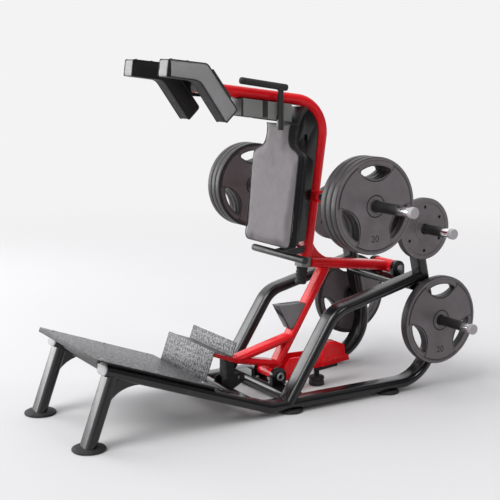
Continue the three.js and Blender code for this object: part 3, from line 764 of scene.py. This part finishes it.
def plates():
    for tag, s in SIDES:
        for i in range(3):
            grip_plate(f"work_plate_{tag}_{i + 1}", f"work_plates_{tag}", WORK_HORN,
                       WORK_X + WORK_STEP * i, GRIP_T, s, i == 2)
        grip_plate(f"big_plate_{tag}", f"big_plate_{tag}", BIG_HORN, STORED_X, STORED_T, s, True)
        small_plate(f"small_plate_{tag}", f"small_plate_{tag}", SMALL_HORN, s)


# ---------- carriage ----------
def spine():
    """C-shaped red tube with the cross tube that holds the working horns."""
    bm = bmesh.new()
    tube(bm, ((700, 1534.4), (1416, 1448.5, 165), (1309.4, 686)), h=55, plug=(1, None))
    turn(bm, soft_edge(30, -150, 150, 2), (0, *WORK_HORN))
    obj = mesh_object("carriage_spine_tube", bm, [RED, RUBBER])
    finish_piece(obj, "carriage", "red_paint", "carriage_spine")


def beam():
    """Red lever from the spine's foot back to the main hinge, with a web in the corner."""
    web = path((1334, 652), (1322, 800), (1347, 800), (1362, 690, 1474, 655), (1474, 636))
    bm = bmesh.new()
    tube(bm, ((1333, 653.5), HINGE))
    turn(bm, soft_edge(35, -72, 72, 2.5), (0, *HINGE))
    add_mesh(bm, flat_shape([web], -6, 6, 1.2))
    obj = mesh_object("lever_beam_tube", bm, RED)
    finish_piece(obj, "carriage", "red_paint", "lever_beam")


def corner():
    """Grey block under the spine and the ribbed rubber bumper below it."""
    remade("corner_block", "carriage", "grey_housing", GREY, 4)
    r, groove_r, height = 30, 26.5, 86
    profile = [(0, -height), (22, -height), (28, -82), (r, -76)]
    for k in range(4):
        z = -70 + 16 * k
        profile += [(r, z), (groove_r, z + 4), (groove_r, z + 8), (r, z + 12)]
    profile += [(29, -3), (26, 0), (0, 0)]
    upright = bmesh.new()
    turn(upright, profile, (0, 0, 0), "z", 40)
    bm = bmesh.new()
    add_tilted(bm, upright, math.radians(-7.3), (0, 1301.3, 628.6))
    obj = mesh_object("rubber_bumper_moulded", bm, RUBBER, 60)
    finish_piece(obj, "carriage", "black_rubber", "rubber_bumper")


def working_horns():
    """Long chrome horns: flange, sleeve with a collar, and a pale end cap."""
    flange, sleeve, collar, cap = (449, 462.5), (586, 752), (584, 592), (830, 858)      # along x
    spot = (0, *WORK_HORN)
    for tag, s in SIDES:
        bm = bmesh.new()
        turn(bm, rod(s * 148, s * (cap[0] + 2)), spot, material=1)
        for r, span, edge, material in ((FLANGE_R, flange, 3, 0), (25, sleeve, 2, 2),
                                        (30, collar, 2, 2), (25.2, cap, 4, 3)):
            turn(bm, soft_edge(r, s * span[0], s * span[1], edge), spot, material=material)
        obj = mesh_object(f"horn_work_{tag}_turned", bm, [BLACK, CHROME, SLEEVE, CAP], 50)
        finish_piece(obj, "carriage", "chromed_steel", f"horn_work_{tag}")


def split_along_y(obj, *places):
    """Cuts the faces of obj where y is at each place in mm."""
    bm = bmesh.new()
    bm.from_mesh(obj.data)
    for y in places:
        everything = [*bm.verts, *bm.edges, *bm.faces]
        bmesh.ops.bisect_plane(bm, geom=everything, plane_co=mm(0, y, 0), plane_no=(0, 1, 0))
    bm.to_mesh(obj.data)
    bm.free()


def brackets():
    """Bracket, board and carrier of the pads, and the grey housing with its front end, groove band and
    underside painted dark as shade.
    """
    remade("pad_bracket", "carriage", "black_paint", BLACK, 1.5)
    remade("back_board", "carriage", "black_paint", SLEEVE, 2)
    remade("pad_carrier", "carriage", "black_paint", BLACK, 5)
    housing = remade("top_housing", "carriage", "grey_housing", [GREY, SLEEVE], 4)
    front, band_start, band_end = 912, 1018, 1048
    split_along_y(housing, front, band_start, band_end)
    for face in housing.data.polygons:
        y = face.center.y * 1000 + MID_Y
        # Front end, the band in the groove and the underside take the near-black sleeve material: painted
        # shade.
        dark = y < front or band_start < y < band_end or face.normal.z < -0.6
        face.material_index = int(dark)


def lower_bar():
    """Round bar under the back pad on two flat arms."""
    bar, bar_r, half_length, arm_x, arm_t = (1161, 709), 18, 237, 39, 10
    arm = path((bar[0], 692), (1284, 712), (1287, 745), (bar[0], 726))
    bm = bmesh.new()
    turn(bm, soft_edge(bar_r, -half_length, half_length, 5), (0, *bar))
    for x in (-arm_x, arm_x):
        add_mesh(bm, flat_shape([arm], x - arm_t / 2, x + arm_t / 2, 1))
    obj = mesh_object("lower_bar_rod", bm, SLEEVE)
    finish_piece(obj, "carriage", "black_paint", "lower_bar")


def side_handle():
    """Upright tube on a small block, with a collar and a ribbed, nearly level grip."""
    handle_x, handle_y, grip_r, rib_r = 90, 1108, 16.5, 15.6
    bm = bmesh.new()
    turn(bm, soft_edge(14.5, 1327, 1533, 2), (handle_x, handle_y, 0), "z", 32)
    turn(bm, soft_edge(18, 1516, 1534, 3), (handle_x, handle_y, 0), "z", 32)
    profile = [(0, -134), (9, -133), (15, -129), (grip_r, -122)]
    for k in range(28):
        t = -118 + 8.4 * k
        profile += [(grip_r, t), (rib_r, t + 2), (rib_r, t + 4.4), (grip_r, t + 6.4)]
    profile += [(grip_r, 122), (15, 129), (9, 133), (0, 134)]
    grip = bmesh.new()
    turn(grip, profile, (0, 0, 0), "z", 32)
    add_tilted(bm, grip, math.pi / 2 - 0.14, (handle_x, 1014, 1545), 1)
    block = path((1096, 1345), (1120, 1345), (1120, 1395), (1096, 1395))
    add_mesh(bm, flat_shape([block], 72.5, handle_x, 2), 2)
    obj = mesh_object("side_handle_bar", bm, [SLEEVE, RUBBER, BLACK], 50)
    finish_piece(obj, "carriage", "grip_rubber", "side_handle")


# ---------- lock ----------
def lock():
    """Red strut under the lever, its bottom bar, brace and hub, the pedal and the wedge."""
    beam_line = (1329.0, 627.3, math.atan2(-65.5, 507.6))
    bm = bmesh.new()
    turn(bm, soft_edge(26, -69, 69, 2), (0, *LOCK_HINGE))
    hub = path((1080, 108), (1120, 100), (1170, 140), (1150, 168), (1088, 172))
    add_mesh(bm, flat_shape([hub], -34, 34, 3))
    tube(bm, ((1160, 149), (898, 205)), w=80, h=34)
    tube(bm, ((1134, 135), (1425, 602)), w=80, h=40, cut_end=beam_line)
    tube(bm, ((912, 206), (1226, 281)), w=80, h=34)
    tip = path((896, 192), (905, 214), (706, 282), (700, 268))
    add_mesh(bm, flat_shape([tip], -34, 34, 3))
    ear = path((700, 264), (786, 237), (786, 272), on_rail(660, 152.4), on_rail(586, 152.4))
    for x in (-26, 26):
        add_mesh(bm, flat_shape([ear], x - 4, x + 4, 1))
    obj = mesh_object("lock_frame_tube", bm, RED)
    finish_piece(obj, "lock", "red_paint", "lock_frame")
    remade("pedal_plate", "lock", "checker_plate", TREAD_UPRIGHT_SHADED, 1.2)
    wedge = remade("strut_block", "lock", "grey_housing", [BLACK, WEDGE], 3)
    for face in wedge.data.polygons:
        sideways = abs(face.normal.x) > 0.7
        face.material_index = int(sideways)


# ---------- upholstery ----------
def solid_from(rings):
    """Closed solid through rings, in triangles."""
    bm = bmesh.new()
    loft(bm, rings)
    bmesh.ops.triangulate(bm, faces=bm.faces)
    return bm


def eased(mesh, values, rounds):
    """Averages one value per vertex with those of its neighbours, rounds times over."""
    near = [[] for _ in values]
    for edge in mesh.edges:
        a, b = edge.vertices
        near[a].append(b)
        near[b].append(a)
    for _ in range(rounds):
        values = [0.5 * v + 0.5 * sum(values[i] for i in n) / len(n) for v, n in zip(values, near)]
    return values


CLOTH_FRAMES, EASE_ROUNDS = 20, 8


def blown_up(obj, held):
    """Where the vertices of obj go as cloth under pressure, fixed where held(point) is 1."""
    group = obj.vertex_groups.new(name="held")
    for v in obj.data.vertices:
        weight = held(v.co)
        if weight > 0:
            group.add([v.index], weight, "REPLACE")
    cloth = obj.modifiers.new("cloth", "CLOTH")
    settings = cloth.settings
    settings.quality = 5
    settings.use_pressure, settings.uniform_pressure_force = True, 4.0
    settings.effector_weights.gravity = 0
    settings.tension_stiffness = settings.compression_stiffness = 12
    settings.vertex_group_mass = "held"
    cloth.collision_settings.use_collision = False
    scene = bpy.context.scene
    for f in range(1, CLOTH_FRAMES + 1):
        scene.frame_set(f)
    done = obj.evaluated_get(bpy.context.evaluated_depsgraph_get()).data
    moved = [v.co.copy() for v in done.vertices]
    obj.modifiers.remove(cloth)
    scene.frame_set(1)
    obj.vertex_groups.clear()
    return moved


def puff(obj, voxel, cap, thick, held):
    """Remeshes a cushion, inflates it as cloth and moves its points by up to cap along thick.

    thick is the direction through the cushion: the seam cord keeps the outline in place.
    held(point) is 1 where the cushion is glued to its board.
    """
    bpy.context.view_layer.objects.active = obj
    remesh = obj.modifiers.new("remesh", "REMESH")
    remesh.mode, remesh.voxel_size = "VOXEL", voxel
    ease = obj.modifiers.new("ease", "SMOOTH")
    ease.factor, ease.iterations = 0.5, 5
    bake(obj)
    start = [v.co.copy() for v in obj.data.vertices]
    moved = blown_up(obj, held)
    lifts = [max(-cap, min(cap, (b - a).dot(thick))) for a, b in zip(start, moved)]
    for v, a, lift in zip(obj.data.vertices, start, eased(obj.data, lifts, EASE_ROUNDS)):
        v.co = a + thick * lift
    fine = obj.modifiers.new("fine", "SUBSURF")
    fine.levels = fine.render_levels = 1
    bake(obj)


def bake(obj):
    """Applies the object's modifiers to its mesh."""
    done = obj.evaluated_get(bpy.context.evaluated_depsgraph_get())
    mesh = bpy.data.meshes.new_from_object(done)
    mesh.shade_smooth()
    obj.modifiers.clear()
    old, obj.data = obj.data, mesh
    bpy.data.meshes.remove(old)


def piping(points, r):
    """Closed round cord of radius r mm sewn along a seam."""
    curve = bpy.data.curves.new("seam", "CURVE")
    curve.dimensions, curve.bevel_depth, curve.bevel_resolution = "3D", r / 1000, 3
    closed_line(curve, points)
    return mesh_of(curve)


def colour_faces(obj, materials, pick):
    """Sets each face's material by pick(centre, normal)."""
    obj.data.materials.clear()
    for m in materials:
        obj.data.materials.append(m)
    for face in obj.data.polygons:
        face.material_index = pick(face.center, face.normal)


def join_mesh(obj, mesh, index):
    """Adds a mesh to obj with the material of the given index."""
    bm = bmesh.new()
    bm.from_mesh(obj.data)
    add_mesh(bm, mesh, index)
    bm.to_mesh(obj.data)
    bm.free()
    obj.data.shade_smooth()


def shoulder_outline():
    """Side view of a bent shoulder cushion."""
    return path((434, 1590), (443, 1654), (445, 1663, 456, 1662), (624, 1645), (643, 1643, 654, 1626),
                (788, 1446), (797, 1432, 786, 1420), (742, 1377), (732, 1370, 724, 1382),
                (612, 1541), (598, 1560, 578, 1563), (442, 1580), (433, 1581, 434, 1590))


def inset(points, d):
    """Moves a closed outline inwards by d."""
    count = len(points)
    area = sum(points[i - 1][0] * points[i][1] - points[i][0] * points[i - 1][1] for i in range(count))
    sign = math.copysign(1, area)
    moved = []
    for i, (y, z) in enumerate(points):
        (py, pz), (ny, nz) = points[i - 1], points[(i + 1) % count]
        t = Vector((ny - py, nz - pz)).normalized()
        moved.append((y - sign * t.y * d, z + sign * t.x * d))
    return moved


def dense(points, step):
    """Adds points along a closed outline so that none are further apart than step."""
    out = []
    for i, a in enumerate(points):
        b = points[(i + 1) % len(points)]
        n = max(1, math.ceil(math.dist(a, b) / step))
        out += [tuple(p + (q - p) * k / n for p, q in zip(a, b)) for k in range(n)]
    return out


def shoulder_pads():
    """Dark bent cushions with a grey outer side and a pale front end."""
    inner_x, outer_x, skin, cord_r = 134, 223, 2.2, 2.6
    outline = shoulder_outline()[:-1]
    shape = inset(outline, skin)
    seam_line = dense(inset(outline, 4.4), 12)
    end_y, side_y = mm(0, 480, 0).y, mm(0, 458, 0).y
    for tag, s in SIDES:
        name = f"shoulder_pad_{tag}"
        low, high = sorted((s * inner_x, s * outer_x))
        rings = [[mm(x, *p) for p in shape] for x in (low + skin, high - skin)]
        obj = mesh_object(name + "_cushion", solid_from(rings), PAD_DARK, 180)
        puff(obj, 0.006, 0.006, Vector((1, 0, 0)), lambda p: 0.0)

        def pick(centre, normal):
            if normal.y < -0.75 and centre.y < end_y:
                return 2
            return int(normal.x * s > 0.7 and centre.y > side_y)

        colour_faces(obj, [PAD_DARK, SHOULDER_GREY, PAD_PALE, PIPING], pick)
        for x in (low + 3.4, high - 3.4):
            join_mesh(obj, piping([mm(x, *p) for p in seam_line], cord_r), 3)
        finish_piece(obj, "carriage", "dark_upholstery", name)


BACK_FOOT = (1077, 765)             # lower front edge of the back pad
LEAN = math.atan2(46, 386)          # its slope away from upright


def back_point(across, up, deep):
    """Point on the back pad: across and up its face, deep into it, in mm."""
    return mm(across, BACK_FOOT[0] + up * math.sin(LEAN) + deep * math.cos(LEAN),
              BACK_FOOT[1] + up * math.cos(LEAN) - deep * math.sin(LEAN))


def back_outline():
    """Front view (across, up) of the back cushion, wide below and narrow at the neck."""
    half = path((165, 0), (208, 0, 208, 42), (208, 420), (208, 445, 196, 455), (178, 470, 150, 478),
                (122, 486, 112, 503), (102, 520, 101, 545), (102, 575, 112, 597))
    return half + [(-y, z) for y, z in reversed(half)]


def back_pad():
    """Long grey cushion with dark sides and a cord along both seams."""
    faces, cords = (6, 48), ((9.5, 2.8), (46, 2.6))     # depths; (depth, radius) of each cord
    outline = back_outline()
    shape = dense(inset(outline, 2.6), 14)
    seam_line = dense(inset(outline, 4.8), 14)
    rings = [[back_point(a, u, d) for a, u in shape] for d in faces]
    obj = mesh_object("back_pad_cushion", solid_from(rings), PAD_GREY, 180)
    rear = back_point(0, 300, 44)
    into = Vector((0, math.cos(LEAN), -math.sin(LEAN)))
    puff(obj, 0.007, 0.009, into, lambda p: 1.0 if (p - rear).dot(into) > 0 else 0.0)
    colour_faces(obj, [PAD_GREY, PAD_DARK, PIPING], lambda c, n: int(n.dot(into) > -0.7))
    for deep, r in cords:
        join_mesh(obj, piping([back_point(a, u, deep) for a, u in seam_line], r), 2)
    finish_piece(obj, "carriage", "grey_upholstery", "back_pad")


def pad_bolts():
    """Bolt heads on top of the shoulder pads."""
    bm = bmesh.new()
    for s in (-1, 1):
        for y in (480, 560):
            hex_bolt(bm, (s * 178, y, 1659.5 - 0.1 * (y - 456)), (0, 0, 1), 6, 3)
    finish_piece(mesh_object("pad_bolts", bm, SLEEVE, 30), "carriage", "black_paint")


# ---------- scene ----------
def light(name, kind, spot, target, power, **settings):
    """Adds a light at spot, in metres, aimed at target."""
    data = bpy.data.lights.new(name, kind)
    data.energy = power
    for key, value in settings.items():
        setattr(data, key, value)
    obj = bpy.data.objects.new(name, data)
    bpy.context.collection.objects.link(obj)
    obj.location = spot
    obj.rotation_euler = (Vector(target) - Vector(spot)).to_track_quat("-Z", "Y").to_euler()


BACKDROP = (0.90, 0.895, 0.90)


def sky():
    """Surroundings brighter on the left than on the right, behind a pale plain background."""
    world = bpy.data.worlds.new("studio")
    bpy.context.scene.world = world
    world.use_nodes = True
    tree = world.node_tree
    new, link = tree.nodes.new, tree.links.new
    ambient = tree.nodes["Background"]
    ambient.inputs["Color"].default_value = (0.98, 0.98, 1.0, 1)
    coord = new("ShaderNodeTexCoord")
    leftward = new("ShaderNodeVectorMath")
    leftward.operation = "DOT_PRODUCT"
    leftward.inputs[1].default_value = (-0.86, -0.45, 0.25)
    level = new("ShaderNodeMapRange")
    for socket, value in (("From Min", -0.7), ("From Max", 0.9), ("To Min", 0.12), ("To Max", 1.5)):
        level.inputs[socket].default_value = value
    link(coord.outputs["Generated"], leftward.inputs[0])
    link(leftward.outputs["Value"], level.inputs["Value"])
    link(level.outputs["Result"], ambient.inputs["Strength"])
    pale = new("ShaderNodeBackground")
    pale.inputs["Color"].default_value = (*BACKDROP, 1)
    seen = new("ShaderNodeLightPath")
    mix = new("ShaderNodeMixShader")
    link(seen.outputs["Is Camera Ray"], mix.inputs[0])
    link(ambient.outputs[0], mix.inputs[1])
    link(pale.outputs[0], mix.inputs[2])
    link(mix.outputs[0], tree.nodes["World Output"].inputs["Surface"])


def floor_material():
    """Pale floor that fades into the background a few metres away."""
    n = Nodes("studio_floor")
    n.set("Base Color", n.mix(n.noise(0.6, 2), (0.575, 0.57, 0.575), (0.595, 0.59, 0.595)))
    n.set("Roughness", 0.85)
    n.set("Specular IOR Level", 0.1)
    glow = n.add("Emission", {"Color": (*BACKDROP, 1), "Strength": 1.0})
    away = n.add("VectorMath", {0: n.place()}, operation="LENGTH").outputs["Value"]
    fade = n.add("MapRange", {"Value": away, 1: 2.6, 2: 8.0}, interpolation_type="SMOOTHSTEP")
    both = n.add("MixShader", {0: fade.outputs["Result"], 1: n.shader.outputs[0], 2: glow.outputs[0]})
    n.tree.links.new(both.outputs[0], n.tree.nodes["Material Output"].inputs["Surface"])
    return n.material


def studio():
    """Floor, surroundings, a soft sun and two softboxes."""
    bm = bmesh.new()
    bmesh.ops.create_grid(bm, x_segments=1, y_segments=1, size=60)
    floor = mesh_object("floor", bm, floor_material())
    floor.location.z = -0.001
    sky()
    light("key", "SUN", (0.6, -3.6, 5.0), (0, 0, 0.6), 1.9, angle=math.radians(32))
    light("softbox", "AREA", (-5.0, -3.6, 1.9), (0, 0, 0.7), 190, size=3.6)
    light("side", "AREA", (5.5, 1.5, 4.2), (0, 0.2, 0.8), 45, size=1.2)


def camera():
    """Camera in front of the machine and to its right, a little above its middle."""
    data = bpy.data.cameras.new("camera")
    data.sensor_width, data.lens = 36, 77.84
    obj = bpy.data.objects.new("camera", data)
    bpy.context.collection.objects.link(obj)
    obj.location = mm(4448.3, -1717.8, 1627.5)
    heading, dip = math.radians(58.65), math.radians(9.644)
    ahead = Vector((-math.sin(heading) * math.cos(dip), math.cos(heading) * math.cos(dip), -math.sin(dip)))
    obj.rotation_euler = ahead.to_track_quat("-Z", "Y").to_euler()
    data.clip_end = 100
    bpy.context.scene.camera = obj
    bpy.context.scene.view_settings.view_transform = "Standard"


def build():
    side_frames()
    front_legs()
    feet()
    cross_tubes()
    platform()
    stops()
    hinges()
    storage_horns()
    frame_bolts()
    plates()
    spine()
    beam()
    corner()
    working_horns()
    brackets()
    lower_bar()
    side_handle()
    lock()
    shoulder_pads()
    back_pad()
    pad_bolts()
    studio()
    camera()


build()
